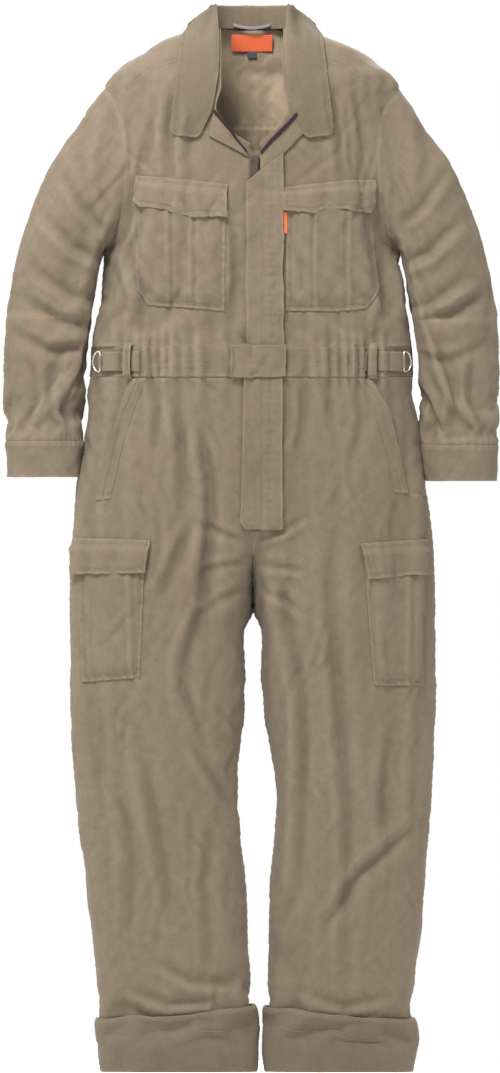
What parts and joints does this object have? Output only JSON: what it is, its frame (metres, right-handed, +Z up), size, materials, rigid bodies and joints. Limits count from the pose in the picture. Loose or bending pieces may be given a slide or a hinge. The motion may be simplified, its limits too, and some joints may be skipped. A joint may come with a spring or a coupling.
{
  "type": "work coverall",
  "caption": "Khaki cotton-twill work coverall with zip front, chest and cargo flap pockets, waist tabs and turned-up hems, hung by its neck loop.",
  "frame": {"origin": "middle of the hanger loop inside the back neck", "axes": "+Z up, the front faces -Y, the wearer's left is +X"},
  "size_m": [0.754, 0.1849, 1.605],
  "materials": {
    "twill": "khaki cotton twill, matt, washed",
    "pocketing": "thin plain-weave pocket lining",
    "zip_tape": "dark brown woven zip tape with coil teeth",
    "zip_metal": "antiqued dark metal",
    "ring_wire": "bright plated wire",
    "orange_label": "woven orange label, plain",
    "dark_tag": "small dark woven tag, plain",
    "loop_tape": "narrow grey-lilac tape"
  },
  "bodies": {
    "root": {"back_body": "twill", "back_yoke": "twill", "belt_keeper_left": "twill", "belt_keeper_right": "twill", "cargo_pocket_left": "twill", "cargo_pocket_right": "twill", "chest_pocket_left": "twill", "chest_pocket_right": "twill", "collar_fall": "twill", "collar_stand": "twill", "fly": "twill", "front_left": "twill", "front_right": "twill", "hanger_loop": "loop_tape", "hip_bag_left": "pocketing", "hip_bag_right": "pocketing", "lapel_left": "twill", "lapel_right": "twill", "neck_label": "orange_label", "placket": "twill", "pocket_tag": "orange_label", "ring_loop_left": "twill", "ring_loop_right": "twill", "size_tag": "dark_tag", "thigh_back_left": "twill", "thigh_back_right": "twill", "thigh_front_left": "twill", "thigh_front_right": "twill", "waist_patch": "twill", "waist_strap_left": "twill", "waist_strap_right": "twill", "waistband_back": "twill", "waistband_left": "twill", "waistband_right": "twill", "zip_chain": "zip_tape", "zip_tape_left": "zip_tape", "zip_tape_right": "zip_tape"},
    "arm_right": {"sleeve_upper_right": "twill"},
    "forearm_right": {"sleeve_lower_right": "twill", "cuff_right": "twill"},
    "shin_right": {"shin_front_right": "twill", "shin_back_right": "twill", "turn_up_right": "twill"},
    "chest_flap_right": {"chest_flap_right": "twill"},
    "cargo_flap_right": {"cargo_flap_right": "twill"},
    "collar_leaf_right": {"collar_leaf_right": "twill"},
    "d_ring_right": {"d_ring_right": "ring_wire"},
    "arm_left": {"sleeve_upper_left": "twill"},
    "forearm_left": {"sleeve_lower_left": "twill", "cuff_left": "twill"},
    "shin_left": {"shin_front_left": "twill", "shin_back_left": "twill", "turn_up_left": "twill"},
    "chest_flap_left": {"chest_flap_left": "twill"},
    "cargo_flap_left": {"cargo_flap_left": "twill"},
    "collar_leaf_left": {"collar_leaf_left": "twill"},
    "d_ring_left": {"d_ring_left": "ring_wire"},
    "zip_slider": {"zip_slider": "zip_metal", "zip_pull": "zip_metal"}
  },
  "joints": [
    {"name": "shoulder_right", "type": "hinge", "parent": "root", "child": "arm_right", "pos_m": [-0.2232, -0.042, -0.0865], "axis": [0, 1, 0], "range_deg": [0, 60]},
    {"name": "elbow_right", "type": "hinge", "parent": "arm_right", "child": "forearm_right", "pos_m": [-0.311, -0.0882, -0.424], "axis": [-1, 0, 0], "range_deg": [0, 85]},
    {"name": "knee_right", "type": "hinge", "parent": "root", "child": "shin_right", "pos_m": [-0.146, 0.0102, -1.15], "axis": [1, 0, 0], "range_deg": [0, 85]},
    {"name": "shoulder_left", "type": "hinge", "parent": "root", "child": "arm_left", "pos_m": [0.2232, -0.042, -0.0865], "axis": [0, -1, 0], "range_deg": [0, 60]},
    {"name": "elbow_left", "type": "hinge", "parent": "arm_left", "child": "forearm_left", "pos_m": [0.311, -0.0882, -0.424], "axis": [-1, 0, 0], "range_deg": [0, 85]},
    {"name": "knee_left", "type": "hinge", "parent": "root", "child": "shin_left", "pos_m": [0.146, 0.0102, -1.15], "axis": [1, 0, 0], "range_deg": [0, 85]},
    {"name": "chest_flap_right_hinge", "type": "hinge", "parent": "root", "child": "chest_flap_right", "pos_m": [-0.11136, -0.12377, -0.22901], "axis": [-0.9856, 0.1416, 0.0926], "range_deg": [0, 150]},
    {"name": "cargo_flap_right_hinge", "type": "hinge", "parent": "root", "child": "cargo_flap_right", "pos_m": [-0.21769, -0.10467, -0.76987], "axis": [-0.9115, 0.4113, 0.0016], "range_deg": [0, 140]},
    {"name": "chest_flap_left_hinge", "type": "hinge", "parent": "root", "child": "chest_flap_left", "pos_m": [0.12379, -0.12203, -0.23303], "axis": [-0.9812, -0.17, -0.0919], "range_deg": [0, 150]},
    {"name": "cargo_flap_left_hinge", "type": "hinge", "parent": "root", "child": "cargo_flap_left", "pos_m": [0.21769, -0.10467, -0.76987], "axis": [-0.9115, -0.4113, -0.0016], "range_deg": [0, 140]},
    {"name": "collar_leaf_right_hinge", "type": "hinge", "parent": "root", "child": "collar_leaf_right", "pos_m": [-0.05271, -0.1166, -0.03945], "axis": [-0.006, 0.3036, 0.9528], "range_deg": [0, 90]},
    {"name": "collar_leaf_left_hinge", "type": "hinge", "parent": "root", "child": "collar_leaf_left", "pos_m": [0.05271, -0.1166, -0.03945], "axis": [-0.006, -0.3036, -0.9528], "range_deg": [0, 90]},
    {"name": "zip_slide", "type": "slide", "parent": "root", "child": "zip_slider", "axis": [0, 0, -1], "range_m": [0, 0.52]},
    {"name": "d_ring_right_hinge", "type": "hinge", "parent": "root", "child": "d_ring_right", "pos_m": [-0.22789, -0.085, -0.503], "axis": [0, 0, -1], "range_deg": [0, 25]},
    {"name": "d_ring_left_hinge", "type": "hinge", "parent": "root", "child": "d_ring_left", "pos_m": [0.22789, -0.085, -0.503], "axis": [0, 0, 1], "range_deg": [0, 25]}
  ]
}
